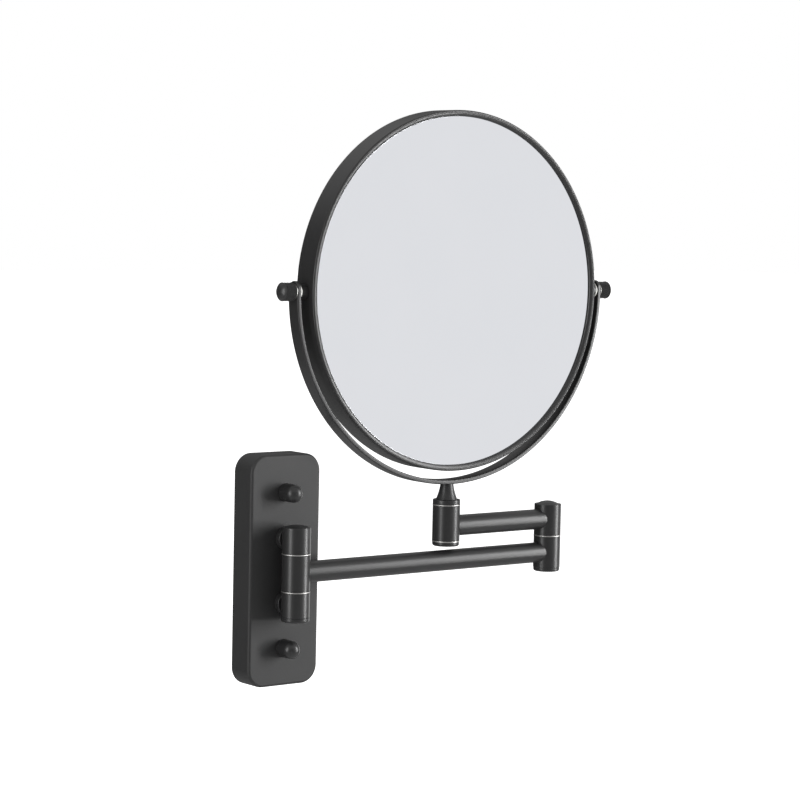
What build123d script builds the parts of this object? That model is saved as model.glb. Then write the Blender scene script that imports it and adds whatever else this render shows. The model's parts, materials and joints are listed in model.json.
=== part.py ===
from build123d import *
import os

os.makedirs("parts", exist_ok=True)

# Extendable shaving mirror, in millimetres.
# X runs to the right along the wall, Y into the wall and Z up.
# The origin is the centre of the wall bracket's back face, in the plane of the wall.
# "Reach" is a distance out from the wall, towards -Y.

# Driving dimensions -------------------------------------------------------

plate_width = 46.0
plate_height = 127.8
plate_depth = 16.5
plate_corner = 10.0
plate_wall = 1.8
plate_edge = 1.6

hinge_reach = 27.1
lower_arm_length = 180.0
upper_arm_length = 76.0
arm_spacing = 19.5
arm_radius = 5.9
arm_wall = 1.0

barrel_radius = 7.85
washer_radius = 7.95
washer_thickness = 0.6
hinge_barrel_half = 10.0
upper_lug_end = 25.1
lower_lug_end = 24.4
elbow_start = -9.1
elbow_end = 28.3
post_start = 11.4
post_end = 31.5
collar_end = 34.9
neck_foot_radius = 6.1
neck_top_radius = 3.6

yoke_radius = 109.2
yoke_thickness = 2.5
yoke_width = 9.0
yoke_drop = 0.2
yoke_rise = 1.4
yoke_edge = 0.6

pivot_height = 153.2
head_radius = 101.5
head_depth = 16.0
sight_radius = 98.0
glass_radius = 99.9
glass_thickness = 3.0
glass_recess = 1.9
magnifier_thickness = 2.5
magnifier_curve = 1200.0
magnifier_seat = 2.85
rim_wall = 1.2
rim_edge = 0.9

knob_radius = 5.15
knob_grip = 6.5
knob_dome = 2.6

# Fits and fasteners -------------------------------------------------------

face_gap = 0.05
running_gap = 0.06
seat_gap = 0.03
edge_break = 0.3
pin_radius = 3.0
thread_radius = 2.5
bush_radius = 4.0
bush_length = 5.5
counterbore_radius = 5.6
counterbore_depth = 4.5
nut_flats = 8.0
nut_height = 3.6
spring_washer_height = 0.9
pivot_screw_radius = 1.5
pivot_washer = 0.5

# Places worked out from them ----------------------------------------------

bracket_axis = (0.0, -hinge_reach)
elbow_axis = (lower_arm_length, -hinge_reach)
post_axis = (lower_arm_length - upper_arm_length, -hinge_reach)
lug_start = hinge_barrel_half + face_gap + washer_thickness
elbow_joint = arm_spacing / 2
pivot_face = yoke_radius - yoke_thickness - 0.1


# Shapes -------------------------------------------------------------------

def rod(radius, low, high):
    """Upright cylinder on the Z axis."""
    base = (Align.CENTER, Align.CENTER, Align.MIN)
    return Pos(0, 0, low) * Cylinder(radius, high - low, align=base)


def ring(outer, inner, low, high):
    """Upright tube on the Z axis."""
    return rod(outer, low, high) - rod(inner, low - 1, high + 1)


def turned(*outline):
    """Solid of revolution about Z, from its (radius, height) corners."""
    points = [(radius, 0, height) for radius, height in outline]
    return revolve(make_face(Polyline(*points, close=True)), Axis.Z)


def hexagon(across_flats, low, high):
    """Upright hexagonal bar on the Z axis."""
    face = RegularPolygon(across_flats / 2, 6, major_radius=False)
    return Pos(0, 0, low) * extrude(face, high - low)


def circles(shape, radius):
    """The shape's circular edges of this radius."""
    found = shape.edges().filter_by(GeomType.CIRCLE)
    return found.filter_by(lambda edge: abs(edge.radius - radius) < 0.001)


def upside_down(shape):
    """The shape mirrored in the plane of the lower arm."""
    return mirror(shape, Plane.XY)


def upright(shape, axis):
    """Moves a shape from the Z axis to an upright hinge axis."""
    return Pos(axis[0], axis[1], 0) * shape


def facing_out(shape, height):
    """Turns a shape so that its Z axis points out from the wall, at this height."""
    return Pos(0, 0, height) * Rot(90, 0, 0) * shape


def above_and_below(shape, height):
    """Two of a shape that faces out from the wall, one above the arm and one below."""
    return facing_out(shape, height) + facing_out(shape, -height)


def on_head(shape):
    """Turns a shape about the mirror's own axis, its Z axis towards the user."""
    return Pos(post_axis[0], post_axis[1], pivot_height) * Rot(90, 0, 0) * shape


def on_pivot(shape, side):
    """Lays a shape along the tilt axis, to the right (1) or to the left (-1)."""
    return Pos(post_axis[0], post_axis[1], pivot_height) * Rot(0, 90 * side, 0) * shape


def both_pivots(shape):
    return on_pivot(shape, 1) + on_pivot(shape, -1)


def save(shape, name):
    export_step(shape, f"parts/{name}.step")


# Pieces that the three hinges share ---------------------------------------

def barrel(low, high):
    """Solid barrel with both rims slightly broken."""
    return chamfer(circles(rod(barrel_radius, low, high), barrel_radius), edge_break)


def bush(low, high):
    return ring(bush_radius - seat_gap, pin_radius + running_gap, low, high)


def thrust_washer(low):
    """Bright washer between two barrels, a little proud of them."""
    return ring(washer_radius, pin_radius + running_gap, low, low + washer_thickness)


def locknut(low):
    """Hexagon nut, its corners rounded off on top."""
    body = hexagon(nut_flats, low, low + nut_height)
    body &= chamfer(rod(4.6, low, low + nut_height).edges().sort_by(Axis.Z)[-1], 0.4)
    return body - rod(thread_radius + seat_gap, low - 1, low + nut_height + 1)


def spring_washer(low):
    """Coned washer that keeps the hinge stiff, under its locknut."""
    inner, outer, plate = pin_radius + 0.1, 5.0, 0.5
    rise = spring_washer_height - plate
    return turned(
        (outer, low), (outer, low + plate), (inner, low + plate + rise), (inner, low + rise)
    )


def pressed_cap(seat, height, radius):
    """End cap pressed into a counterbore, its rim rounded."""
    disc = rod(radius, seat, seat + height)
    disc = fillet(disc.edges().sort_by(Axis.Z)[-1], 0.45 * height)
    return disc + cap_skirt(seat)


def crowned_cap(seat, crown, radius):
    """End cap pressed into a counterbore, its top a shallow dome."""
    ball = (radius ** 2 + crown ** 2) / (2 * crown)
    dome = Pos(0, 0, seat + crown - ball) * Sphere(ball)
    return (dome & rod(radius + 1, seat, seat + crown + 1)) + cap_skirt(seat)


def cap_skirt(seat):
    return ring(counterbore_radius - seat_gap, counterbore_radius - 0.85, seat - 1.2, seat)


# Wall bracket -------------------------------------------------------------

strap_width = 24.0
strap_height = 104.0
strap_thickness = 2.0
strap_corner = 6.0
stud_height = 43.0
stud_reach = 24.5
stud_flange_radius = 4.2
stud_flange = 1.2
wall_hole_height = 30.0
wall_hole_radius = 2.6


def wall_bracket():
    """Steel strap that is screwed to the wall and carries the studs."""
    strap = extrude(RectangleRounded(strap_width, strap_height, strap_corner), strap_thickness)
    body = facing_out(strap, 0)
    body -= above_and_below(rod(thread_radius + seat_gap, -1, 5), stud_height)
    body -= above_and_below(rod(wall_hole_radius, -1, 5), wall_hole_height)
    return body


def mounting_studs():
    flange_top = strap_thickness + stud_flange
    stud = turned(
        (0, 0), (thread_radius, 0), (thread_radius, strap_thickness),
        (stud_flange_radius, strap_thickness), (stud_flange_radius, flange_top),
        (thread_radius, flange_top), (thread_radius, stud_reach - 0.6),
        (thread_radius - 0.6, stud_reach), (0, stud_reach),
    )
    return above_and_below(stud, stud_height)


save(wall_bracket(), "wall_bracket")
save(mounting_studs(), "mounting_studs")

# Cover plate and its cap nuts ---------------------------------------------

lug_height = 17.9
lug_screw_radius = 2.0
cap_nut_radius = 5.0
cap_nut_length = 12.1
cap_nut_bore = 8.6


def cover_plate():
    """Hollow cover, open at the wall, that the hinge lugs are screwed to."""
    outline = RectangleRounded(plate_width, plate_height, plate_corner)
    inner_width = plate_width - 2 * plate_wall
    inner_height = plate_height - 2 * plate_wall
    hollow = RectangleRounded(inner_width, inner_height, plate_corner - plate_wall)
    shell = extrude(outline, plate_depth)
    shell = fillet(shell.faces().sort_by(Axis.Z)[-1].edges(), plate_edge)
    shell -= extrude(hollow, plate_depth - plate_wall)
    shell = facing_out(shell, 0)
    shell -= above_and_below(rod(thread_radius + 0.25, 10, 20), stud_height)
    shell -= above_and_below(rod(lug_screw_radius + 0.15, 10, 20), lug_height)
    return shell


def cap_nuts():
    """Round-ended nuts that hold the cover plate on the studs."""
    ball_centre = plate_depth + cap_nut_length - cap_nut_radius
    nut = rod(cap_nut_radius, plate_depth, ball_centre)
    nut += Pos(0, 0, ball_centre) * Sphere(cap_nut_radius)
    nut = chamfer(nut.edges().sort_by(Axis.Z)[0], edge_break)
    nut -= rod(thread_radius + seat_gap, plate_depth - 1, plate_depth + cap_nut_bore)
    return above_and_below(nut, stud_height)


save(cover_plate(), "cover_plate")
save(cap_nuts(), "cap_nuts")

# Bracket hinge ------------------------------------------------------------

lug_boss_radius = 6.3
lug_boss_reach = 19.9
lug_screw_end = 22.2
lug_washer = 0.8
pin_head = 3.0
pin_head_radius = 4.8


def lug(end):
    """One lug of the bracket, above the arm, with its round boss on the plate."""
    body = upright(barrel(lug_start, end), bracket_axis)
    boss = rod(lug_boss_radius, plate_depth, lug_boss_reach)
    boss = chamfer(boss.edges().sort_by(Axis.Z)[-1], 0.4)
    body += facing_out(boss, lug_height)
    body -= upright(rod(pin_radius + seat_gap, 0, end + 1), bracket_axis)
    body -= upright(rod(counterbore_radius, end - counterbore_depth, end + 1), bracket_axis)
    body -= facing_out(rod(lug_screw_radius + seat_gap, 10, lug_screw_end + 0.3), lug_height)
    return body


def lug_screws():
    """Button-head screws that hold the lugs from inside the cover plate."""
    seat = plate_depth - plate_wall - lug_washer
    head = rod(3.8, seat - 2.6, seat)
    head = fillet(head.edges().sort_by(Axis.Z)[0], 1.2)
    screw = rod(lug_screw_radius, seat, lug_screw_end) + head
    screw -= hexagon(2.5, seat - 3, seat - 1.2)
    return above_and_below(screw, lug_height)


def lug_screw_washers():
    top = plate_depth - plate_wall
    washer = ring(4.6, lug_screw_radius + 0.1, top - lug_washer, top)
    return above_and_below(washer, lug_height)


def arm_pin():
    """Bolt through both lugs and the arm's barrel, its head in the lower lug."""
    head_top = counterbore_depth - lower_lug_end
    nut_seat = upper_lug_end - counterbore_depth
    body = rod(pin_head_radius, head_top - pin_head, head_top)
    body += rod(pin_radius, head_top, nut_seat - 0.5)
    body += rod(thread_radius, nut_seat - 0.5, nut_seat + nut_height + 0.3)
    return body - hexagon(4.0, head_top - pin_head - 1, head_top - 1.2)


def hinge_washers():
    washer = thrust_washer(hinge_barrel_half + face_gap)
    return washer + upside_down(washer)


save(lug(upper_lug_end), "upper_lug")
save(upside_down(lug(lower_lug_end)), "lower_lug")
save(lug_screws(), "lug_screws")
save(lug_screw_washers(), "lug_screw_washers")
save(upright(arm_pin(), bracket_axis), "arm_pin")
save(upright(locknut(upper_lug_end - counterbore_depth), bracket_axis), "arm_pin_nut")
save(upright(hinge_washers(), bracket_axis), "hinge_washers")
save(upright(crowned_cap(upper_lug_end, 1.2, 7.3), bracket_axis), "upper_hinge_cap")
lower_cap = upside_down(pressed_cap(lower_lug_end + face_gap, 2.4, barrel_radius))
save(upright(lower_cap, bracket_axis), "lower_hinge_cap")

# Lower arm ----------------------------------------------------------------

elbow_pin_head = 2.6
elbow_counterbore = 6.6


def arm_tube(height, start, end):
    """Tube between two upright axes, its ends coped to fit round their barrels."""
    length = end[0] - start[0]
    tube = Pos(start[0], start[1], height) * Rot(0, 90, 0) * ring(
        arm_radius, arm_radius - arm_wall, 0, length
    )
    for axis in (start, end):
        tube -= upright(rod(barrel_radius, height - 10, height + 10), axis)
    return tube


def hinge_barrel():
    body = barrel(-hinge_barrel_half, hinge_barrel_half)
    return body - rod(bush_radius, -hinge_barrel_half - 1, hinge_barrel_half + 1)


def hinge_bushes():
    upper = bush(hinge_barrel_half - bush_length, hinge_barrel_half)
    return upper + upside_down(upper)


def elbow_lower_barrel():
    top = elbow_joint - washer_thickness / 2
    body = barrel(elbow_start, top)
    body -= rod(pin_radius + seat_gap, elbow_start - 1, top + 1)
    return body - rod(counterbore_radius, elbow_start - 1, elbow_start + counterbore_depth)


def elbow_pin():
    """Bolt fixed in the lower barrel, that the upper arm turns on."""
    head_top = elbow_start + counterbore_depth
    nut_seat = elbow_nut_seat()
    body = rod(pin_head_radius, head_top - elbow_pin_head, head_top)
    body += rod(pin_radius, head_top, nut_seat - 0.4)
    body += rod(thread_radius, nut_seat - 0.4, nut_seat + nut_height + 0.3)
    return body - hexagon(4.0, head_top - elbow_pin_head - 1, head_top - 1.2)


def elbow_nut_seat():
    return elbow_end - elbow_counterbore + face_gap + spring_washer_height


save(upright(hinge_barrel(), bracket_axis), "hinge_barrel")
save(upright(hinge_bushes(), bracket_axis), "hinge_bushes")
save(arm_tube(0, bracket_axis, elbow_axis), "lower_arm_tube")
save(upright(elbow_lower_barrel(), elbow_axis), "elbow_lower_barrel")
save(upright(elbow_pin(), elbow_axis), "elbow_pin")
spring_seat = elbow_end - elbow_counterbore + face_gap
save(upright(spring_washer(spring_seat), elbow_axis), "elbow_spring_washer")
save(upright(locknut(elbow_nut_seat()), elbow_axis), "elbow_locknut")
elbow_cap = upside_down(pressed_cap(face_gap - elbow_start, 2.1, barrel_radius - 0.2))
save(upright(elbow_cap, elbow_axis), "elbow_bottom_cap")

# Upper arm ----------------------------------------------------------------

post_counterbore = 6.6


def elbow_washer():
    return thrust_washer(elbow_joint - washer_thickness / 2)


def elbow_upper_barrel():
    low = elbow_joint + washer_thickness / 2 + face_gap
    body = barrel(low, elbow_end)
    body -= rod(bush_radius, low - 1, elbow_end + 1)
    return body - rod(counterbore_radius, elbow_end - elbow_counterbore, elbow_end + 1)


def elbow_bush():
    low = elbow_joint + washer_thickness / 2 + face_gap
    return bush(low, elbow_end - elbow_counterbore)


def post_barrel():
    body = barrel(post_start, post_end)
    body -= rod(bush_radius, post_start - 1, post_end + 1)
    return body - rod(counterbore_radius, post_start - 1, post_start + post_counterbore)


def post_bush():
    return bush(post_start + post_counterbore, post_end)


save(upright(elbow_washer(), elbow_axis), "elbow_washer")
save(upright(elbow_upper_barrel(), elbow_axis), "elbow_upper_barrel")
save(upright(elbow_bush(), elbow_axis), "elbow_bush")
save(upright(crowned_cap(elbow_end, 1.8, 6.5), elbow_axis), "elbow_dome_cap")
save(arm_tube(arm_spacing, post_axis, elbow_axis), "upper_arm_tube")
save(upright(post_barrel(), post_axis), "post_barrel")
save(upright(post_bush(), post_axis), "post_bush")
lower_ring = ring(washer_radius, counterbore_radius, post_start - washer_thickness, post_start)
save(upright(lower_ring, post_axis), "post_lower_ring")
post_cap = upside_down(
    pressed_cap(washer_thickness - post_start, 2.4, barrel_radius - 0.15)
)
save(upright(post_cap, post_axis), "post_bottom_cap")

# Yoke ---------------------------------------------------------------------

arc_height = pivot_height - yoke_drop
collar_start = post_end + 2 * face_gap + washer_thickness


def yoke_band():
    """Flat band bent to a half circle, its round ends just past the pivots."""
    middle = yoke_radius - yoke_thickness / 2
    section = RectangleRounded(yoke_thickness, yoke_width, yoke_edge)
    arc = revolve(Plane.XZ * Pos(-middle, 0, 0) * section, Axis.Z, 180)
    band = Pos(post_axis[0], post_axis[1], arc_height) * Rot(90, 0, 0) * arc
    band += on_pivot(ear(1), 1) + on_pivot(ear(-1), -1)
    return band - both_pivots(rod(pivot_screw_radius + running_gap, 90, 120))


def ear(down):
    """End of the band round a pivot, its edges rounded except where it joins the arc."""
    low = yoke_radius - yoke_thickness
    outline = Circle(yoke_width / 2) & Pos(-down * yoke_width, 0) * Rectangle(
        2 * yoke_width, 2 * yoke_width
    )
    straight = Rectangle(yoke_rise + yoke_drop, yoke_width)
    outline = Pos(-down * yoke_rise, 0) * outline
    outline += Pos(down * (yoke_drop - yoke_rise) / 2, 0) * straight
    body = Pos(0, 0, low) * extrude(outline, yoke_thickness)
    flat = body.edges().filter_by(lambda edge: abs(edge.tangent_at(0.5).Z) < 0.1)
    rounded = flat.filter_by(lambda edge: abs(edge.center().X - down * yoke_drop) > 0.01)
    return fillet(rounded, yoke_edge)


def yoke_neck():
    """Collar on the post, running up in a hollow curve to the band."""
    top = pivot_height - yoke_drop - yoke_radius + 1.0
    foot = collar_end + 0.1
    lip = barrel_radius - 0.95
    collar = turned(
        (0, collar_start), (barrel_radius - edge_break, collar_start),
        (barrel_radius, collar_start + edge_break), (barrel_radius, collar_end - 0.4),
        (barrel_radius - 0.4, collar_end), (lip, collar_end), (lip, collar_end - 0.7),
        (neck_foot_radius - 0.2, collar_end - 0.7), (0, collar_end - 0.7),
    )
    waist = (neck_top_radius + 0.75, 0, 0.46 * foot + 0.54 * top)
    side = ThreePointArc((neck_foot_radius, 0, foot), waist, (neck_top_radius, 0, top))
    outline = Polyline(
        (neck_top_radius, 0, top), (0, 0, top), (0, 0, collar_end - 1),
        (neck_foot_radius - 0.2, 0, collar_end - 1), (neck_foot_radius, 0, foot),
    )
    neck = revolve(make_face(side + outline), Axis.Z)
    body = upright(collar + neck, post_axis)
    band = Pos(post_axis[0], post_axis[1], arc_height) * Rot(90, 0, 0) * rod(
        yoke_radius, -yoke_width, yoke_width
    )
    body -= band
    return body - upright(rod(pin_radius + seat_gap, collar_start - 1, collar_end + 4), post_axis)


def swivel_pin():
    """Pin fixed up into the neck, held in the post by its locknut."""
    nut_seat = post_nut_seat()
    body = rod(pin_radius, nut_seat + 0.4, collar_end + 3.5)
    return body + rod(thread_radius, nut_seat - nut_height - 0.3, nut_seat + 0.4)


def post_nut_seat():
    return post_start + post_counterbore - face_gap - spring_washer_height


save(yoke_band(), "yoke_band")
save(yoke_neck(), "yoke_neck")
save(upright(swivel_pin(), post_axis), "swivel_pin")
save(upright(thrust_washer(post_end + face_gap), post_axis), "post_upper_washer")
post_spring = upside_down(spring_washer(-(post_nut_seat() + spring_washer_height)))
save(upright(post_spring, post_axis), "post_spring_washer")
post_nut = upside_down(locknut(-post_nut_seat()))
save(upright(post_nut, post_axis), "post_locknut")
outer_washer = ring(4.6, pivot_screw_radius + 0.1, yoke_radius, yoke_radius + pivot_washer)
save(both_pivots(outer_washer), "outer_pivot_washers")
inner_washer = ring(4.2, pivot_screw_radius + 0.1, pivot_face - 0.6, pivot_face)
save(both_pivots(inner_washer), "inner_pivot_washers")

# Mirror head --------------------------------------------------------------

half_depth = head_depth / 2
glass_front = half_depth - glass_recess
rib_front = glass_front - glass_thickness - face_gap
rib_back = magnifier_seat - glass_front
rib_radius = 97.2
bezel_radius = head_radius - rim_wall - face_gap
bezel_drop = 0.12
bezel_flat = 0.25
bezel_step = 0.6
bezel_shoulder = (1.05, 0.22)
bezel_nose = (0.35, 0.6)
boss_radius = 4.0
boss_tenon = 2.4
boss_socket_floor = rib_radius + 1.2
boss_end = pivot_face - 0.6 - face_gap


def mirror_rim():
    """Outer band of the frame, with an inner rib that the two glasses sit against."""
    wall = head_radius - rim_wall
    band = ring(head_radius, wall, -half_depth, half_depth)
    band = fillet(circles(band, head_radius), rim_edge)
    band = chamfer(circles(band, wall), 0.15)
    band += ring(wall + 0.2, rib_radius, rib_back, rib_front)
    sockets = both_pivots(rod(boss_tenon + seat_gap, boss_socket_floor, head_radius + 2))
    return on_head(band) - sockets


def bezel():
    """Retaining ring in front of the flat glass, its face rolling over towards it."""
    face = half_depth - bezel_drop
    shoulder = (sight_radius + bezel_shoulder[0], face - bezel_shoulder[1])
    nose = (sight_radius + bezel_nose[0], face - bezel_nose[1])
    return turned(
        (sight_radius, glass_front + face_gap), (bezel_radius, glass_front + face_gap),
        (bezel_radius, face), (bezel_radius - bezel_flat, face),
        shoulder, nose, (sight_radius, glass_front + bezel_step),
    )


def plain_glass():
    disc = rod(glass_radius, glass_front - glass_thickness, glass_front)
    return chamfer(circles(disc, glass_radius), 0.3)


def magnifying_glass():
    """Dished glass, hollow towards the back of the head."""
    front_edge = -glass_front
    sag = magnifier_curve - (magnifier_curve ** 2 - glass_radius ** 2) ** 0.5
    centre = front_edge + sag - magnifier_curve
    inner, outer = magnifier_curve, magnifier_curve + magnifier_thickness

    def at(curve, radius):
        return (radius, 0, centre + (curve ** 2 - radius ** 2) ** 0.5)

    half = glass_radius / 2
    hollow = ThreePointArc(at(inner, 0), at(inner, half), at(inner, glass_radius))
    back = ThreePointArc(at(outer, glass_radius), at(outer, half), at(outer, 0))
    edge = Line(at(inner, glass_radius), at(outer, glass_radius))
    axis = Line(at(outer, 0), at(inner, 0))
    return revolve(make_face(hollow + edge + back + axis), Axis.Z)


def pivot_boss():
    """Threaded insert, its tenon fixed in the rim."""
    body = rod(boss_tenon, boss_socket_floor + 0.2, head_radius + 0.02)
    body += rod(boss_radius, head_radius + 0.02, boss_end)
    return body - rod(pivot_screw_radius + running_gap, 90, boss_end + 1)


save(mirror_rim(), "mirror_rim")
save(on_head(bezel()), "front_bezel")
save(on_head(upside_down(bezel())), "rear_bezel")
save(on_head(plain_glass()), "plain_glass")
save(on_head(magnifying_glass()), "magnifying_glass")
save(on_head(rod(rib_radius - 0.1, rib_front - 1.0, rib_front)), "backing_disc")
save(both_pivots(pivot_boss()), "pivot_bosses")

# Clamping knobs -----------------------------------------------------------

knob_start = yoke_radius + pivot_washer + face_gap
grip_end = knob_start + knob_grip
screw_end = grip_end - 1.0


def knob():
    """Knurled thumb knob with a smooth rounded end."""
    ball = (knob_radius ** 2 + knob_dome ** 2) / (2 * knob_dome)
    grip = rod(knob_radius, knob_start, grip_end)
    dome = Pos(0, 0, grip_end + knob_dome - ball) * Sphere(ball)
    body = chamfer(grip.edges().sort_by(Axis.Z)[0], edge_break)
    body += dome & rod(knob_radius, grip_end, grip_end + knob_dome + 1)
    return body - rod(pivot_screw_radius + seat_gap, knob_start - 1, screw_end + 0.2)


def knob_screw():
    return rod(pivot_screw_radius, boss_socket_floor + 0.6, screw_end)


for side, name in ((-1, "left"), (1, "right")):
    save(on_pivot(knob(), side), f"{name}_knob")
    save(on_pivot(knob_screw(), side), f"{name}_knob_screw")
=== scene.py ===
import json
from math import atan2, cos, hypot, pi, radians, sin, sqrt

import bmesh
import bpy
from mathutils import Matrix, Vector


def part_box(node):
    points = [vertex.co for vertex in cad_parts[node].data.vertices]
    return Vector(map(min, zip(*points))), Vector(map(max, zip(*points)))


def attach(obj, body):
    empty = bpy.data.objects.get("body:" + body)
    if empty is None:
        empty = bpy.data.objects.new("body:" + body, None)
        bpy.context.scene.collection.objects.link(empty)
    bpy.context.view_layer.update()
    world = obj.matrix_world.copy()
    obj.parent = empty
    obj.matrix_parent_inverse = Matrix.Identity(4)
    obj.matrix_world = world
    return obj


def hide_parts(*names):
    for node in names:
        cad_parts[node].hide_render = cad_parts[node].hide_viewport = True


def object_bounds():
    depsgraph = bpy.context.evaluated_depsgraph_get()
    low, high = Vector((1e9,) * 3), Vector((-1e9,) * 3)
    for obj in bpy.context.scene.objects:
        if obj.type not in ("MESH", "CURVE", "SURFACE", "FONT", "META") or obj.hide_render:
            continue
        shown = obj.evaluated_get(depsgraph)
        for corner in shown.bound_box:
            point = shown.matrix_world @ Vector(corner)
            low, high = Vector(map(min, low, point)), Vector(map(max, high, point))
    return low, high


# Extendable shaving mirror. The wall is the plane y = 0 and the front faces -y.
# All pieces take their places from the CAD nodes that they stand for.

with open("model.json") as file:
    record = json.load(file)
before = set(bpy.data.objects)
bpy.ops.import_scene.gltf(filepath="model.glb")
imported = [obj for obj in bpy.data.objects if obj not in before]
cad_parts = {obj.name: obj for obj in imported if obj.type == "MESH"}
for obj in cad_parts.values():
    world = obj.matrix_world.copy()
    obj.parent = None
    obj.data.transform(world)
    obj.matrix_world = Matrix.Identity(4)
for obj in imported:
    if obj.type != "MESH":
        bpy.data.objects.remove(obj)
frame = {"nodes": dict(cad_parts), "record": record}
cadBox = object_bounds()
scene = bpy.context.scene
record = frame["record"]
mm = 0.001
samePoint = 1e-7  # points closer than this are joined
samePlace = 1e-6  # how exactly a point has to lie on a circle or in a plane
bodyOf = {node: body for body, nodes in record["behaviour"]["bodies"].items() for node in nodes}
slotOf = {part["node"]: part["material_slot"] for part in record["subparts"]}
print("frame loaded:", len(frame["nodes"]), "nodes")


# one socket of a material, so that sums of textures can be written as Python expressions
class Shade:
    def __init__(self, tree, socket=None):
        self.tree = tree
        self.socket = socket

    # adds any node: its settings first, then its inputs, by name or by number
    def node(self, kind, settings=None, inputs=None, output=0):
        made = self.tree.nodes.new("ShaderNode" + kind)
        for name, value in (settings or {}).items():
            setattr(made, name, value)
        for name, value in (inputs or {}).items():
            if isinstance(value, Shade):
                self.tree.links.new(value.socket, made.inputs[name])
            else:
                made.inputs[name].default_value = value
        return Shade(self.tree, made.outputs[output])

    def math(self, operation, first, second):
        return self.node("Math", {"operation": operation}, {0: first, 1: second})

    def __add__(self, other):
        return self.math("ADD", self, other)

    def __sub__(self, other):
        return self.math("SUBTRACT", self, other)

    def __rsub__(self, other):
        return self.math("SUBTRACT", other, self)

    def __mul__(self, other):
        return self.math("MULTIPLY", self, other)

    __radd__ = __add__
    __rmul__ = __mul__

    def noise(self, size, detail=2.0, stretch=(1, 1, 1)):  # self holds the coordinates
        spread = self.node("Mapping", {}, {"Vector": self, "Scale": stretch})
        return self.node("TexNoise", {}, {"Vector": spread, "Scale": 1 / size, "Detail": detail})

    def bump(self, height, strength=1.0):  # self holds the height, from 0 to 1
        return self.node("Bump", {}, {"Height": self, "Distance": height, "Strength": strength})

    def fade(self, low, high):  # 0 below low, 1 above high, smooth between
        ends = {"Value": self, "From Min": low, "From Max": high}
        return self.node("MapRange", {"interpolation_type": "SMOOTHSTEP"}, ends)

    def between(self, first, second):  # colour mix, self is the share of the second
        return self.node("Mix", {"data_type": "RGBA"}, {0: self, 6: first, 7: second}, 2)


# a material with its fixed values, and the shades that vary over the surface
def finish(name, fixed, varying):
    material = bpy.data.materials.new(name)
    material.use_nodes = True
    tree = material.node_tree
    shader = tree.nodes["Principled BSDF"]
    for socket, value in fixed.items():
        shader.inputs[socket].default_value = value
    place = Shade(tree).node("TexCoord", output="Object")
    for socket, shade in varying(place).items():
        tree.links.new(shade.socket, shader.inputs[socket])
    return material


coating = {
    "colour": (0.0115, 0.0115, 0.0117, 1), "paler": (0.016, 0.016, 0.0163, 1),
    "roughness": 0.38, "matteRoughness": 0.56, "specular": 0.5,
    "grain": 0.35 * mm, "grainHeight": 0.010 * mm,
    "peel": 1.7 * mm, "peelHeight": 0.012 * mm,
    "patch": 22 * mm, "grainShare": 0.6, "patchShare": 0.4, "unevenness": 0.06,
}


def coatingShades(place):  # powder coat: fine grain over a soft orange peel
    grain = place.noise(coating["grain"], 3)
    peel = place.noise(coating["peel"], 1)
    patch = place.noise(coating["patch"], 3)
    uneven = coating["unevenness"]
    matte = place.node("Attribute", {"attribute_name": "matte"}, output="Fac")
    roughness = matte * (coating["matteRoughness"] - coating["roughness"]) + coating["roughness"]
    peelBump = peel.bump(coating["peelHeight"])
    normal = grain.node("Bump", {}, {
        "Height": grain, "Distance": coating["grainHeight"], "Strength": 1.0, "Normal": peelBump,
    })
    return {
        "Base Color": (grain * coating["grainShare"] + patch * coating["patchShare"]).between(
            coating["colour"], coating["paler"]
        ),
        "Roughness": roughness - uneven + grain * uneven + patch * uneven,
        "Normal": normal,
    }


nickel = {
    "colour": (0.58, 0.575, 0.56, 1), "dull": (0.42, 0.41, 0.40, 1), "roughness": 0.42, "unevenness": 0.10,
    "line": 1 * mm, "lineStretch": (0.3, 0.3, 18), "lineHeight": 0.004 * mm, "lineShare": 0.5,
    "patch": 4 * mm, "patchShare": 0.3,
}


def nickelShades(place):  # fine turning lines round the upright axis
    lines = place.noise(nickel["line"], 2, nickel["lineStretch"])
    patch = place.noise(nickel["patch"], 2)
    return {
        "Base Color": (lines * nickel["lineShare"] + patch * nickel["patchShare"]).between(
            nickel["colour"], nickel["dull"]
        ),
        "Roughness": nickel["roughness"] + lines * nickel["unevenness"],
        "Normal": lines.bump(nickel["lineHeight"]),
    }


zinc = {
    "colour": (0.62, 0.63, 0.65, 1), "dull": (0.44, 0.45, 0.47, 1), "roughness": 0.30,
    "cloud": 3.5 * mm, "cloudRoughness": 0.12,
    "line": 0.5 * mm, "lineStretch": (0.08, 1, 1), "lineHeight": 0.006 * mm, "lineRoughness": 0.06,
}


def zincShades(place):  # plated steel, cloudy with faint rolling lines
    cloud = place.noise(zinc["cloud"], 4)
    lines = place.noise(zinc["line"], 2, zinc["lineStretch"])
    roughness = zinc["roughness"] + cloud * zinc["cloudRoughness"]
    return {
        "Base Color": cloud.between(zinc["colour"], zinc["dull"]),
        "Roughness": roughness + lines * zinc["lineRoughness"],
        "Normal": lines.bump(zinc["lineHeight"]),
    }


silvering = {
    "colour": (0.826, 0.835, 0.868, 1), "hazy": (0.80, 0.815, 0.85, 1), "roughness": 0.012,
    "haze": 38 * mm, "hazeRoughness": 0.012, "speck": 0.8 * mm, "speckRoughness": 0.004,
}


def silveringShades(place):  # a clean mirror, with the least haze in broad patches
    haze = place.noise(silvering["haze"], 3)
    speck = place.noise(silvering["speck"], 2)
    roughness = silvering["roughness"] + haze * silvering["hazeRoughness"]
    return {
        "Base Color": haze.between(silvering["colour"], silvering["hazy"]),
        "Roughness": roughness + speck * silvering["speckRoughness"],
    }


nylon = {
    "colour": (0.80, 0.80, 0.77, 1), "darker": (0.72, 0.72, 0.68, 1), "roughness": 0.42,
    "cloud": 2 * mm, "cloudHeight": 0.01 * mm, "cloudRoughness": 0.12,
}


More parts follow.
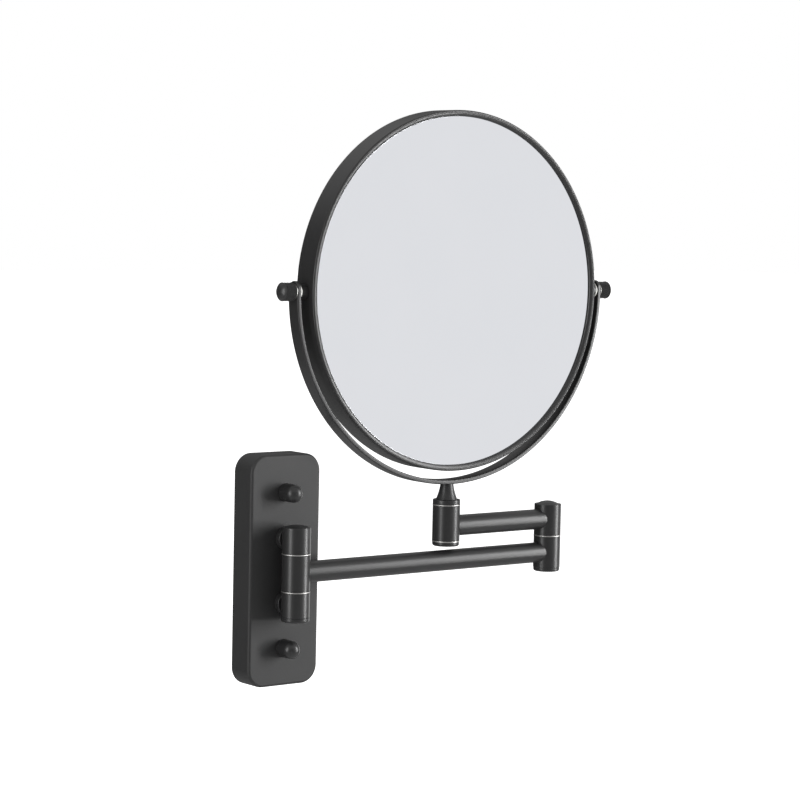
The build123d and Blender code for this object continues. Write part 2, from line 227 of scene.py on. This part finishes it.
def nylonShades(place):  # white plastic, a little uneven from its mould
    cloud = place.noise(nylon["cloud"], 3)
    return {
        "Base Color": cloud.between(nylon["colour"], nylon["darker"]),
        "Roughness": nylon["roughness"] + cloud * nylon["cloudRoughness"],
        "Normal": cloud.bump(nylon["cloudHeight"]),
    }


board = {
    "colour": (0.07, 0.07, 0.074, 1), "darker": (0.045, 0.045, 0.048, 1), "roughness": 0.78,
    "fibre": 0.9 * mm, "fibreStretch": (1, 0.2, 1), "fibreHeight": 0.05 * mm, "fibreRoughness": 0.15,
}


def boardShades(place):  # pressed board with its fibres along one way
    fibre = place.noise(board["fibre"], 4, board["fibreStretch"])
    return {
        "Base Color": fibre.between(board["colour"], board["darker"]),
        "Roughness": board["roughness"] + fibre * board["fibreRoughness"],
        "Normal": fibre.bump(board["fibreHeight"]),
    }


finishes = {
    "black_coating": finish("satinBlackCoating", {"Specular IOR Level": coating["specular"]}, coatingShades),
    "bright_nickel": finish("brightNickel", {"Metallic": 1.0}, nickelShades),
    "zinc_steel": finish("zincPlatedSteel", {"Metallic": 1.0}, zincShades),
    "silvered_glass": finish("silveredGlass", {"Metallic": 1.0}, silveringShades),
    "nylon": finish("whiteNylon", {}, nylonShades),
    "backing_board": finish("backingBoard", {}, boardShades),
}
for node, part in frame["nodes"].items():
    for slot in part.material_slots:
        slot.material = finishes[slotOf[node]]
print("finishes made:", len(finishes))


def upright(node):  # an upright round node's axis, radius, and lower and upper end
    low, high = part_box(node)
    radius = (high.x - low.x) / 2
    return Vector((low.x + radius, low.y + radius, 0)), radius, low.z, high.z


def arc(centre, radius, start, end, steps):  # (radius, height) points, from start to end in degrees
    turns = [radians(start + (end - start) * step / steps) for step in range(steps + 1)]
    return [(centre[0] + radius * cos(turn), centre[1] + radius * sin(turn)) for turn in turns]


def crown(radius, base, rise, steps=8):  # shallow dome, from its top to its rim
    ball = (radius ** 2 + rise ** 2) / (2 * rise)
    centre = base + rise - ball
    slope = 90 - atan2(base - centre, radius) * 180 / pi
    points = arc((0, centre), ball, 90, 90 - slope, steps)
    return [(0, base + rise)] + points[1:]


def onRing(edge, radius, height):
    return all(
        abs(hypot(vert.co.x, vert.co.y) - radius) < samePlace and abs(vert.co.z - height) < samePlace
        for vert in edge.verts
    )


# spins an outline of (radius, height) corners, and rounds those that have a third value
def turned(outline, sides=96, ring=False, segments=3):
    bm = bmesh.new()
    corners = [bm.verts.new((corner[0], 0, corner[1])) for corner in outline]
    for first, second in zip(corners, corners[1:] + corners[:1] if ring else corners[1:]):
        bm.edges.new((first, second))
    bmesh.ops.spin(
        bm, geom=bm.verts[:] + bm.edges[:], cent=(0, 0, 0), axis=(0, 0, 1),
        angle=2 * pi, steps=sides, use_merge=True, use_duplicate=False,
    )
    bmesh.ops.remove_doubles(bm, verts=bm.verts[:], dist=samePoint)
    for corner in outline:
        if len(corner) > 2:
            rim = [edge for edge in bm.edges if onRing(edge, corner[0], corner[1])]
            bmesh.ops.bevel(
                bm, geom=rim, offset=corner[2], offset_type="OFFSET", segments=segments,
                profile=0.5, affect="EDGES", clamp_overlap=True, material=-1,
            )
    return bm


def moved(bm, matrix):
    bmesh.ops.transform(bm, matrix=matrix, verts=bm.verts[:])
    return bm


def copied(bm, matrix):  # the shape and a second one, moved
    twin = bmesh.ops.duplicate(bm, geom=bm.verts[:] + bm.edges[:] + bm.faces[:])["geom"]
    bmesh.ops.transform(bm, matrix=matrix, verts=[v for v in twin if isinstance(v, bmesh.types.BMVert)])
    return bm


# makes the object that stands for one or more nodes, with even shading
def piece(name, bm, *nodes, creaseAngle=32, matte=0.0):
    bmesh.ops.remove_doubles(bm, verts=bm.verts[:], dist=samePoint)
    bmesh.ops.recalc_face_normals(bm, faces=bm.faces[:])
    for face in bm.faces:
        face.smooth = True
    mesh = bpy.data.meshes.new(name)
    bm.to_mesh(mesh)
    bm.free()
    mesh.set_sharp_from_angle(angle=radians(creaseAngle))
    mesh.materials.append(finishes[slotOf[nodes[0]]])
    matteness = mesh.attributes.new("matte", "FLOAT", "POINT")
    matteness.data.foreach_set("value", [matte] * len(mesh.vertices))
    made = bpy.data.objects.new(name, mesh)
    scene.collection.objects.link(made)
    evened = made.modifiers.new("evenShading", "WEIGHTED_NORMAL")
    evened.keep_sharp = True
    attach(made, bodyOf[nodes[0]])
    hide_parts(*nodes)
    return made


facingOut = Matrix.Rotation(radians(90), 4, "X")  # local z points out from the wall
toRight = Matrix.Rotation(radians(90), 4, "Y")
toLeft = Matrix.Rotation(radians(-90), 4, "Y")

plate = {
    "corner": 10 * mm, "cornerSteps": 14, "wall": 1.8 * mm,
    "edge": 1.6 * mm, "edgeSteps": 5, "backEdge": 0.25 * mm, "backEdgeSteps": 2,
}


def coverPlate():
    low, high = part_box("cover_plate")
    size = high - low
    bm = bmesh.new()
    bmesh.ops.create_cube(bm, size=1)
    bmesh.ops.scale(bm, vec=size, verts=bm.verts[:])
    bmesh.ops.translate(bm, vec=(low + high) / 2, verts=bm.verts[:])
    corners = [e for e in bm.edges if abs(e.verts[0].co.y - e.verts[1].co.y) > size.y / 2]
    bmesh.ops.bevel(
        bm, geom=corners, offset=plate["corner"], offset_type="OFFSET",
        segments=plate["cornerSteps"], profile=0.5, affect="EDGES", material=-1,
    )
    back = [face for face in bm.faces if face.normal.y > 0.9]
    bmesh.ops.inset_region(bm, faces=back, thickness=plate["wall"], use_even_offset=True)
    floor = bmesh.ops.extrude_face_region(bm, geom=back)["geom"]
    bmesh.ops.delete(bm, geom=back, context="FACES")
    sunk = [vert for vert in floor if isinstance(vert, bmesh.types.BMVert)]
    bmesh.ops.translate(bm, vec=(0, plate["wall"] - size.y, 0), verts=sunk)
    for depth, width, steps in (
        (low.y, plate["edge"], plate["edgeSteps"]), (high.y, plate["backEdge"], plate["backEdgeSteps"]),
    ):
        rim = [
            e for e in bm.edges
            if all(abs(v.co.y - depth) < samePlace for v in e.verts) and e.calc_face_angle(0) > 1
        ]
        bmesh.ops.bevel(
            bm, geom=rim, offset=width, offset_type="OFFSET", segments=steps,
            profile=0.5, affect="EDGES", material=-1,
        )
    return bm


capNut = {"foot": 0.35 * mm, "bore": 2.53 * mm, "boreDepth": 8.6 * mm}


def capNuts():
    low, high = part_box("cap_nuts")
    radius = (high.x - low.x) / 2
    base, tip = -high.y, -low.y
    bm = turned(
        arc((0, tip - radius), radius, 90, 0, 12)
        + [(radius, base, capNut["foot"]), (capNut["bore"], base),
           (capNut["bore"], base + capNut["boreDepth"]), (0, base + capNut["boreDepth"])]
    )
    moved(bm, Matrix.Translation((0, 0, high.z - radius)) @ facingOut)
    return copied(bm, Matrix.Translation((0, 0, low.z - high.z + 2 * radius)))


piece("coverPlate", coverPlate(), "cover_plate", matte=1.0)
piece("capNuts", capNuts(), "cap_nuts")
print("cover plate made")

hinge = {
    "edge": 0.3 * mm, "washerEdge": 0.12 * mm, "bushBore": 4.0 * mm, "pinBore": 3.03 * mm,
    "capSeat": 5.6 * mm, "lugSeatDepth": 4.5 * mm, "nutSeatDepth": 6.6 * mm, "skirt": 1.2 * mm,
    "skirtWall": 0.85 * mm, "skirtGap": 0.03 * mm, "skirtEdge": 0.15 * mm, "capTurn": 0.45,
    "washerBore": 3.06 * mm, "washerThickness": 0.6 * mm,
}


# a barrel on its upright axis, its bore opening into a cap seat at either end
def barrel(node, bore, topSeat=0.0, bottomSeat=0.0):
    axis, radius, low, high = upright(node)
    outline = [(radius, low, hinge["edge"]), (radius, high, hinge["edge"])]
    if topSeat:
        outline += [(hinge["capSeat"], high), (hinge["capSeat"], high - topSeat), (bore, high - topSeat)]
    else:
        outline += [(bore, high)]
    if bottomSeat:
        outline += [(bore, low + bottomSeat), (hinge["capSeat"], low + bottomSeat), (hinge["capSeat"], low)]
    else:
        outline += [(bore, low)]
    return moved(turned(outline, ring=True), Matrix.Translation(axis))


def washer(node, bore):
    axis, radius, low, high = upright(node)
    edge = hinge["washerEdge"]
    outline = [(bore, low), (radius, low, edge), (radius, high, edge), (bore, high)]
    return moved(turned(outline, ring=True, segments=2), Matrix.Translation(axis))


# a cap whose outer face has this outline above its seat, pressed in by its skirt
def cap(node, face, pointsDown=False):
    axis, radius, low, high = upright(node)
    seat = low + hinge["skirt"]
    outer = hinge["capSeat"] - hinge["skirtGap"]
    inner = outer - hinge["skirtWall"]
    outline = face(radius, seat, high) + [
        (outer, seat), (outer, low, hinge["skirtEdge"]), (inner, low, hinge["skirtEdge"]),
        (inner, seat), (0, seat),
    ]
    bm = turned(outline)
    if pointsDown:
        moved(bm, Matrix.Translation((0, 0, low + high)) @ Matrix.Scale(-1, 4, (0, 0, 1)))
    return moved(bm, Matrix.Translation(axis))


def domed(radius, seat, top):
    return crown(radius, seat, top - seat)


def rounded(radius, seat, top):  # flat face with a well rounded rim
    turn = hinge["capTurn"] * (top - seat)
    return [(0, top)] + arc((radius - turn, top - turn), turn, 90, 0, 5) + [(radius, seat)]


boss = {"radius": 6.3 * mm, "reach": 19.9 * mm, "edge": 0.4 * mm, "height": 17.9 * mm}


# a lug of the bracket: its barrel, and the round boss that meets the plate
def lug(node, side):
    axis, radius, low, high = upright(node)
    seats = {"topSeat": hinge["lugSeatDepth"]} if side > 0 else {"bottomSeat": hinge["lugSeatDepth"]}
    bm = barrel(node, hinge["pinBore"], **seats)
    base = -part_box(node)[1].y
    foot = turned([(0, boss["reach"]), (boss["radius"], boss["reach"], boss["edge"]),
                   (boss["radius"], base), (0, base)])
    moved(foot, Matrix.Translation((axis.x, 0, side * boss["height"])) @ facingOut)
    scrap = bpy.data.meshes.new("boss")
    foot.to_mesh(scrap)
    foot.free()
    bm.from_mesh(scrap)
    bpy.data.meshes.remove(scrap)
    return bm


piece("upperLug", lug("upper_lug", 1), "upper_lug")
piece("lowerLug", lug("lower_lug", -1), "lower_lug")
piece("hingeBarrel", barrel("hinge_barrel", hinge["bushBore"]), "hinge_barrel")
piece(
    "elbowLowerBarrel", barrel("elbow_lower_barrel", hinge["pinBore"], bottomSeat=hinge["lugSeatDepth"]),
    "elbow_lower_barrel",
)
piece(
    "elbowUpperBarrel", barrel("elbow_upper_barrel", hinge["bushBore"], topSeat=hinge["nutSeatDepth"]),
    "elbow_upper_barrel",
)
piece(
    "postBarrel", barrel("post_barrel", hinge["bushBore"], bottomSeat=hinge["nutSeatDepth"]), "post_barrel",
)
piece("upperHingeCap", cap("upper_hinge_cap", domed), "upper_hinge_cap")
piece("lowerHingeCap", cap("lower_hinge_cap", rounded, pointsDown=True), "lower_hinge_cap")
piece("elbowDomeCap", cap("elbow_dome_cap", domed), "elbow_dome_cap")
piece("elbowBottomCap", cap("elbow_bottom_cap", rounded, pointsDown=True), "elbow_bottom_cap")
piece("postBottomCap", cap("post_bottom_cap", rounded, pointsDown=True), "post_bottom_cap")
piece("elbowWasher", washer("elbow_washer", hinge["washerBore"]), "elbow_washer")
piece("postUpperWasher", washer("post_upper_washer", hinge["washerBore"]), "post_upper_washer")
piece("postLowerRing", washer("post_lower_ring", hinge["capSeat"]), "post_lower_ring")


def hingeWashers():  # one above the arm's barrel and one below
    axis, radius, low, high = upright("hinge_washers")
    bore, edge, thickness = hinge["washerBore"], hinge["washerEdge"], hinge["washerThickness"]
    under = high - thickness
    outline = [(bore, under), (radius, under, edge), (radius, high, edge), (bore, high)]
    bm = moved(turned(outline, ring=True, segments=2), Matrix.Translation(axis))
    return copied(bm, Matrix.Translation((0, 0, low + thickness - high)))


piece("hingeWashers", hingeWashers(), "hinge_washers")
print("hinges made")

arm = {"wall": 1.0 * mm, "sunk": 0.25 * mm, "sides": 96, "lengthSteps": 24}


# a tube between two upright barrels, its ends shaped to sit against them
def armTube(node, leftBarrel, rightBarrel):
    low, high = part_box(node)
    radius = (high.z - low.z) / 2
    middle = (low + high) / 2
    ends = [upright(leftBarrel)[0].x, upright(rightBarrel)[0].x]
    reach = upright(leftBarrel)[1] - arm["sunk"]
    length = ends[1] - ends[0]
    inner = radius - arm["wall"]
    bm = turned([(radius, 0), (radius, length), (inner, length), (inner, 0)], arm["sides"], ring=True)
    rails = [e for e in bm.edges if abs(e.verts[0].co.z - e.verts[1].co.z) > length / 2]
    bmesh.ops.subdivide_edges(bm, edges=rails, cuts=arm["lengthSteps"] - 1, use_grid_fill=True)
    moved(bm, Matrix.Translation((ends[0], middle.y, middle.z)) @ toRight)
    for vert in bm.verts:  # the ends follow the barrels' round sides
        saddle = sqrt(reach ** 2 - (vert.co.y - middle.y) ** 2)
        share = (vert.co.x - ends[0]) / length
        vert.co.x = ends[0] + saddle + share * (length - 2 * saddle)
    return bm


piece("lowerArmTube", armTube("lower_arm_tube", "hinge_barrel", "elbow_lower_barrel"), "lower_arm_tube")
piece("upperArmTube", armTube("upper_arm_tube", "post_barrel", "elbow_upper_barrel"), "upper_arm_tube")
print("arms made")

yoke = {"thickness": 2.5 * mm, "edge": 0.6 * mm, "arcSteps": 180, "earSteps": 56}
headLow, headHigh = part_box("mirror_rim")
headCentre = (headLow + headHigh) / 2
yokeLow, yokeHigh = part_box("yoke_band")
yokeRadius = (yokeHigh.x - yokeLow.x) / 2
yokeCentre = (yokeLow + yokeHigh) / 2
yokeCentre.z = yokeLow.z + yokeRadius


def yokeBand():  # laid out flat, given its thickness and round edges, then bent
    halfWidth = (yokeHigh.y - yokeLow.y) / 2
    middle = yokeRadius - yoke["thickness"] / 2
    quarter = middle * pi / 2
    reach = quarter + yokeHigh.z - halfWidth - yokeCentre.z  # from the lowest point to a round end
    bm = bmesh.new()
    bmesh.ops.create_grid(bm, x_segments=yoke["arcSteps"], y_segments=1, size=1)
    bmesh.ops.scale(bm, vec=(reach, halfWidth, 1), verts=bm.verts[:])
    for side in (-1, 1):
        ear = bmesh.ops.create_circle(bm, cap_ends=True, segments=yoke["earSteps"], radius=halfWidth)
        bmesh.ops.translate(bm, vec=(side * reach, 0, 0), verts=ear["verts"])
        disc = {face for vert in ear["verts"] for face in vert.link_faces}
        around = {edge for face in disc for edge in face.edges}
        bmesh.ops.bisect_plane(
            bm, geom=list(disc) + list(around) + ear["verts"], dist=samePoint,
            plane_co=(side * reach, 0, 0), plane_no=(side, 0, 0), clear_inner=True,
        )
    bmesh.ops.remove_doubles(bm, verts=bm.verts[:], dist=samePlace)
    bmesh.ops.recalc_face_normals(bm, faces=bm.faces[:])
    bmesh.ops.solidify(bm, geom=bm.faces[:], thickness=yoke["thickness"])
    heights = [vert.co.z for vert in bm.verts]
    bmesh.ops.translate(bm, vec=(0, 0, -(max(heights) + min(heights)) / 2), verts=bm.verts[:])
    outline = [edge for edge in bm.edges if edge.calc_face_angle(0) > 1]
    bmesh.ops.bevel(
        bm, geom=outline, offset=yoke["edge"], offset_type="OFFSET", segments=3,
        profile=0.5, affect="EDGES", clamp_overlap=True, material=-1,
    )
    for vert in bm.verts:
        along, across, out = vert.co
        turn = max(-pi / 2, min(pi / 2, along / middle))
        straight = max(0, abs(along) - quarter)
        radius = middle + out
        vert.co = yokeCentre + Vector((radius * sin(turn), across, straight - radius * cos(turn)))
    return bm


neck = {
    "edge": 0.35 * mm, "collar": 2.7 * mm, "lip": 0.95 * mm, "groove": 0.7 * mm,
    "foot": 6.1 * mm, "footLift": 0.1 * mm, "footStep": 0.2 * mm, "lipEdge": 0.1 * mm,
    "top": 3.6 * mm, "topLift": 0.9 * mm, "waist": 4.35 * mm, "waistShare": 0.54,
    "bore": 3.03 * mm, "boreDepth": 6.7 * mm, "sideSteps": 18,
}


def bow(first, middle, last, steps):  # points of the arc through three (radius, height) points
    (ax, ay), (bx, by), (cx, cy) = first, middle, last
    across = 2 * (ax * (by - cy) + bx * (cy - ay) + cx * (ay - by))
    a, b, c = (ax**2 + ay**2, bx**2 + by**2, cx**2 + cy**2)
    ux = (a * (by - cy) + b * (cy - ay) + c * (ay - by)) / across
    uy = (a * (cx - bx) + b * (ax - cx) + c * (bx - ax)) / across
    start, end = (atan2(y - uy, x - ux) * 180 / pi for x, y in (first, last))
    end += 360 * round((start - end) / 360)
    return arc((ux, uy), hypot(ax - ux, ay - uy), start, end, steps)


def yokeNeck():
    axis, radius, low, high = upright("yoke_neck")
    rim = low + neck["collar"]
    lip = radius - neck["lip"]
    foot, top = rim + neck["footLift"], yokeLow.z + neck["topLift"]
    waist = (1 - neck["waistShare"]) * foot + neck["waistShare"] * top
    side = bow((neck["top"], top), (neck["waist"], waist), (neck["foot"], foot), neck["sideSteps"])
    outline = [(0, top)] + side + [
        (neck["foot"] - neck["footStep"], rim - neck["groove"]), (lip, rim - neck["groove"]),
        (lip, rim, neck["lipEdge"]), (radius, rim, neck["edge"]), (radius, low, neck["edge"]),
        (neck["bore"], low), (neck["bore"], low + neck["boreDepth"]), (0, low + neck["boreDepth"]),
    ]
    return moved(turned(outline), Matrix.Translation(axis))


piece("yokeBand", yokeBand(), "yoke_band")
piece("yokeNeck", yokeNeck(), "yoke_neck")
print("yoke made")

head = {
    "sides": 256, "wall": 1.2 * mm, "edge": 0.9 * mm, "innerEdge": 0.15 * mm,
    "sight": 98.0 * mm, "glass": 99.9 * mm, "glassDepth": 1.9 * mm, "glassThickness": 3.0 * mm,
    "bezelStep": 0.55 * mm, "bezelDrop": 0.12 * mm, "bezelFlat": 0.25 * mm, "gap": 0.05 * mm,
    "bezelEdge": 0.08 * mm, "sightEdge": 0.1 * mm, "glassEdge": 0.3 * mm,
    "ribRadius": 97.2 * mm, "ribLow": -3.25 * mm, "ribHigh": 3.05 * mm,
    "dishThickness": 2.5 * mm, "dishCurve": 1200 * mm,
}
# the bezel's two outer folds: how far outside the sight edge, how far below the face, and how round
shoulder = {"outside": 1.05 * mm, "drop": 0.22 * mm, "turn": 0.6 * mm}
nose = {"outside": 0.35 * mm, "drop": 0.6 * mm, "turn": 0.4 * mm}
headRadius = (headHigh.x - headLow.x) / 2
halfDepth = (headHigh.y - headLow.y) / 2
onHead = Matrix.Translation(headCentre) @ facingOut
mirrored = Matrix.Scale(-1, 4, (0, 0, 1))


def mirrorRim():
    inner = headRadius - head["wall"]
    outline = [
        (inner, -halfDepth, head["innerEdge"]), (headRadius, -halfDepth, head["edge"]),
        (headRadius, halfDepth, head["edge"]), (inner, halfDepth, head["innerEdge"]),
        (inner, head["ribHigh"]), (head["ribRadius"], head["ribHigh"]),
        (head["ribRadius"], head["ribLow"]), (inner, head["ribLow"]),
    ]
    return moved(turned(outline, head["sides"], ring=True, segments=5), onHead)


def bezel():  # its face rolls over towards the glass
    outer = headRadius - head["wall"] - head["gap"]
    base = halfDepth - head["glassDepth"] + head["gap"]
    face = halfDepth - head["bezelDrop"]
    folds = [
        (head["sight"] + fold["outside"], face - fold["drop"], fold["turn"]) for fold in (shoulder, nose)
    ]
    outline = [
        (head["sight"], base), (outer, base), (outer, face, head["bezelEdge"]),
        (outer - head["bezelFlat"], face), *folds,
        (head["sight"], base + head["bezelStep"], head["sightEdge"]),
    ]
    return turned(outline, head["sides"], ring=True)


def plainGlass():
    front = halfDepth - head["glassDepth"]
    back = front - head["glassThickness"]
    outline = [
        (0, front), (head["glass"], front, head["glassEdge"]),
        (head["glass"], back, head["glassEdge"]), (0, back),
    ]
    return moved(turned(outline, head["sides"], segments=1), onHead)


def magnifyingGlass():  # dished, hollow towards the back of the head
    curve = head["dishCurve"]
    back = halfDepth - head["glassDepth"]
    rimTurn = sqrt(curve ** 2 - head["glass"] ** 2)
    centre = -back - rimTurn
    inner = [(r, centre + sqrt(curve ** 2 - r ** 2)) for r in radiiTo(head["glass"])]
    thick = curve + head["dishThickness"]
    outer = [(r, centre + sqrt(thick ** 2 - r ** 2)) for r in radiiTo(head["glass"])]
    return moved(turned(inner + outer[::-1], head["sides"]), onHead)


def radiiTo(end, steps=24):
    return [end * step / steps for step in range(steps + 1)]


piece("mirrorRim", mirrorRim(), "mirror_rim")
piece("frontBezel", moved(bezel(), onHead), "front_bezel")
piece("rearBezel", moved(bezel(), onHead @ mirrored), "rear_bezel")
piece("plainGlass", plainGlass(), "plain_glass")
piece("magnifyingGlass", magnifyingGlass(), "magnifying_glass")
print("mirror head made")

pivot = {
    "bossRadius": 4.0 * mm, "bossGap": 0.02 * mm, "bossEdge": 0.2 * mm,
    "tenon": 2.4 * mm, "tenonLength": 2 * mm, "bore": 1.56 * mm,
    "washerEdge": 0.1 * mm, "washerThickness": 0.5 * mm,
}
knob = {
    "columns": 60, "rows": 12, "knurlDepth": 0.30 * mm, "grip": 6.5 * mm, "edge": 0.3 * mm,
    "groove": 0.35 * mm, "grooveLow": 0.05 * mm, "grooveHigh": 0.12 * mm, "bore": 1.53 * mm,
    "endWall": 0.8 * mm, "domeInset": 0.05 * mm, "domeLift": 0.35 * mm, "domeSteps": 10, "crease": 12,
}


def bothSides(bm):  # the shape on the right-hand pivot, and its mirror image on the left
    moved(bm, Matrix.Translation(headCentre) @ toRight)
    return copied(bm, Matrix.Translation((2 * headCentre.x, 0, 0)) @ Matrix.Scale(-1, 4, (1, 0, 0)))


def pivotBosses():
    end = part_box("pivot_bosses")[1].x - headCentre.x
    start = headRadius + pivot["bossGap"]
    root = start - pivot["tenonLength"]
    outline = [
        (pivot["bore"], root), (pivot["tenon"], root), (pivot["tenon"], start),
        (pivot["bossRadius"], start), (pivot["bossRadius"], end, pivot["bossEdge"]), (pivot["bore"], end),
    ]
    return bothSides(turned(outline, 64, ring=True))


def outerPivotWashers():
    low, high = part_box("outer_pivot_washers")
    radius = (high.z - low.z) / 2
    end = high.x - headCentre.x
    start = end - pivot["washerThickness"]
    outline = [(pivot["bore"], start), (radius, start, pivot["washerEdge"]),
               (radius, end, pivot["washerEdge"]), (pivot["bore"], end)]
    return bothSides(turned(outline, 64, ring=True, segments=2))


# a thumb knob with a diamond knurl cut into its grip and a smooth domed end
def knurledKnob(node, side):
    low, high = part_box(node)
    radius = (high.z - low.z) / 2
    start, tip = sorted(abs(x - headCentre.x) for x in (low.x, high.x))
    gripEnd = start + knob["grip"]
    pitch = (knob["grip"] - 2 * knob["edge"]) / knob["rows"]
    rows = [start + knob["edge"] + pitch * row for row in range(knob["rows"] + 1)]
    neckRadius = radius - knob["groove"]
    dome = gripEnd + knob["domeLift"]
    boreEnd = gripEnd - knob["endWall"]
    outline = crown(radius - knob["domeInset"], dome, tip - dome, knob["domeSteps"])
    outline += [(radius, gripEnd + knob["grooveHigh"]), (neckRadius, gripEnd - knob["grooveLow"])]
    outline += [(radius, height) for height in reversed(rows)]
    outline += [(neckRadius, start), (knob["bore"], start), (knob["bore"], boreEnd), (0, boreEnd)]
    bm = turned(outline, knob["columns"])
    valleys = []
    for vert in bm.verts:
        row = (vert.co.z - rows[0]) / pitch
        onSide = abs(hypot(vert.co.x, vert.co.y) - radius) < samePlace
        onGrip = onSide and -0.5 < row < knob["rows"] + 0.5
        column = atan2(vert.co.y, vert.co.x) * knob["columns"] / (2 * pi)
        if onGrip and (round(row) + round(column)) % 2:
            valleys.append(vert)
    bmesh.ops.scale(bm, vec=(1 - knob["knurlDepth"] / radius,) * 2 + (1,), verts=valleys)
    bmesh.ops.connect_verts(bm, verts=valleys)  # the grooves cross each square from corner to corner
    return moved(bm, Matrix.Translation(headCentre) @ (toRight if side > 0 else toLeft))


piece("pivotBosses", pivotBosses(), "pivot_bosses")
piece("outerPivotWashers", outerPivotWashers(), "outer_pivot_washers")
piece("leftKnob", knurledKnob("left_knob", -1), "left_knob", creaseAngle=knob["crease"])
piece("rightKnob", knurledKnob("right_knob", 1), "right_knob", creaseAngle=knob["crease"])
print("knobs made")

floorSetting = {
    "depth": 0.35, "size": 30.0, "colour": (0.92, 0.92, 0.92, 1), "glow": 0.8,
    "roughness": 0.75, "mottle": 0.5, "mottleRoughness": 0.1,
}
# brightness of the room's sides, and the heights of a direction between which each of them fades in
studio = {
    "backdrop": 1.0, "room": 0.07, "front": 0.10, "ceiling": 0.62, "ground": 0.45,
    "frontFade": (0.1, 0.6), "ceilingFade": (0.3, 0.6), "groundFade": (0.3, 0.6),
}
# white cards round the object: where their middle is, and where they start and end to fade, in degrees
cards = {
    "frontCard": {"side": 38, "rise": -2, "full": 13, "none": 18, "brightness": 0.72},
    "rightCard": {"side": 118, "rise": -2, "full": 16, "none": 26, "brightness": 1.4},
}
# direction in degrees right of straight out from the wall and above level, and sizes in metres
softboxes = {
    "keyLight": {"side": 50, "rise": 2, "distance": 2.5, "width": 0.40, "height": 2.1, "brightness": 32},
    "leftLight": {"side": -84, "rise": 2, "distance": 2.5, "width": 0.44, "height": 1.9, "brightness": 15},
}


def floorShades(place):
    mottle = place.noise(floorSetting["mottle"], 3)
    return {"Roughness": floorSetting["roughness"] + mottle * floorSetting["mottleRoughness"]}


def makeFloor():
    bm = bmesh.new()
    bmesh.ops.create_grid(bm, x_segments=8, y_segments=8, size=floorSetting["size"] / 2)
    bmesh.ops.translate(bm, vec=(0, 0, -floorSetting["depth"]), verts=bm.verts[:])
    mesh = bpy.data.meshes.new("floor")
    bm.to_mesh(mesh)
    bm.free()
    mesh.materials.append(finish("paleFloor", {
        "Base Color": floorSetting["colour"], "Emission Color": (1, 1, 1, 1),
        "Emission Strength": floorSetting["glow"],
    }, floorShades))
    floor = bpy.data.objects.new("floor", mesh)
    scene.collection.objects.link(floor)
    floor.visible_glossy = False


# the direction that lies so many degrees right of straight out from the wall, and above level
def outwards(side, rise):
    side, rise = radians(side), radians(rise)
    return Vector((sin(side) * cos(rise), -cos(side) * cos(rise), sin(rise)))


def makeSoftbox(name, light):
    lamp = bpy.data.lights.new(name, "AREA")
    lamp.shape = "RECTANGLE"
    lamp.size, lamp.size_y = light["width"], light["height"]
    lamp.energy = light["brightness"] * pi * light["width"] * light["height"]
    away = outwards(light["side"], light["rise"])
    centre = sum(cadBox, Vector()) / 2
    box = bpy.data.objects.new(name, lamp)
    aimed = away.to_track_quat("Z", "Y").to_matrix().to_4x4()
    box.matrix_world = Matrix.Translation(centre + away * light["distance"]) @ aimed
    box.visible_camera = False
    scene.collection.objects.link(box)


def makeSurround():  # a white backdrop, in a dim room with a pale ceiling and some white cards
    world = bpy.data.worlds.new("studio")
    world.use_nodes = True
    tree = world.node_tree
    direction = Shade(tree).node("TexCoord", output="Generated")
    up = direction.node("SeparateXYZ", {}, {0: direction}, "Z")
    inFront = direction.node("SeparateXYZ", {}, {0: direction}, "Y") * -1
    room = studio["room"] + inFront.fade(*studio["frontFade"]) * studio["front"]
    room = room + up.fade(*studio["ceilingFade"]) * studio["ceiling"]
    room = room + (up * -1).fade(*studio["groundFade"]) * studio["ground"]
    for card in cards.values():
        toCard = {0: direction, 1: outwards(card["side"], card["rise"])}
        nearness = direction.node("VectorMath", {"operation": "DOT_PRODUCT"}, toCard, "Value")
        share = nearness.fade(cos(radians(card["none"])), cos(radians(card["full"])))
        room = room + share * card["brightness"]
    seen = Shade(tree).node("LightPath", output="Is Camera Ray")
    strength = room * (1 - seen) + seen * studio["backdrop"]
    tree.links.new(strength.socket, tree.nodes["Background"].inputs["Strength"])
    tree.nodes["Background"].inputs["Color"].default_value = (1, 1, 1, 1)
    scene.world = world


cameraSetting = {
    "place": (-0.8254, -1.1893, 0.2043), "lens": 118.52, "sensor": 36, "farthest": 100,
    "toRight": 37.585, "down": 4.363, "roll": 1.193,  # degrees
}


def makeCamera():
    data = bpy.data.cameras.new("camera")
    data.lens = cameraSetting["lens"]
    data.sensor_width = cameraSetting["sensor"]
    data.clip_end = cameraSetting["farthest"]
    camera = bpy.data.objects.new("camera", data)
    camera.matrix_world = (
        Matrix.Translation(cameraSetting["place"])
        @ Matrix.Rotation(radians(-cameraSetting["toRight"]), 4, "Z")
        @ Matrix.Rotation(radians(90 - cameraSetting["down"]), 4, "X")
        @ Matrix.Rotation(radians(cameraSetting["roll"]), 4, "Z")
    )
    scene.collection.objects.link(camera)
    scene.camera = camera


makeFloor()
for name, light in softboxes.items():
    makeSoftbox(name, light)
makeSurround()
makeCamera()
scene.view_settings.view_transform = "Standard"
print("studio made")
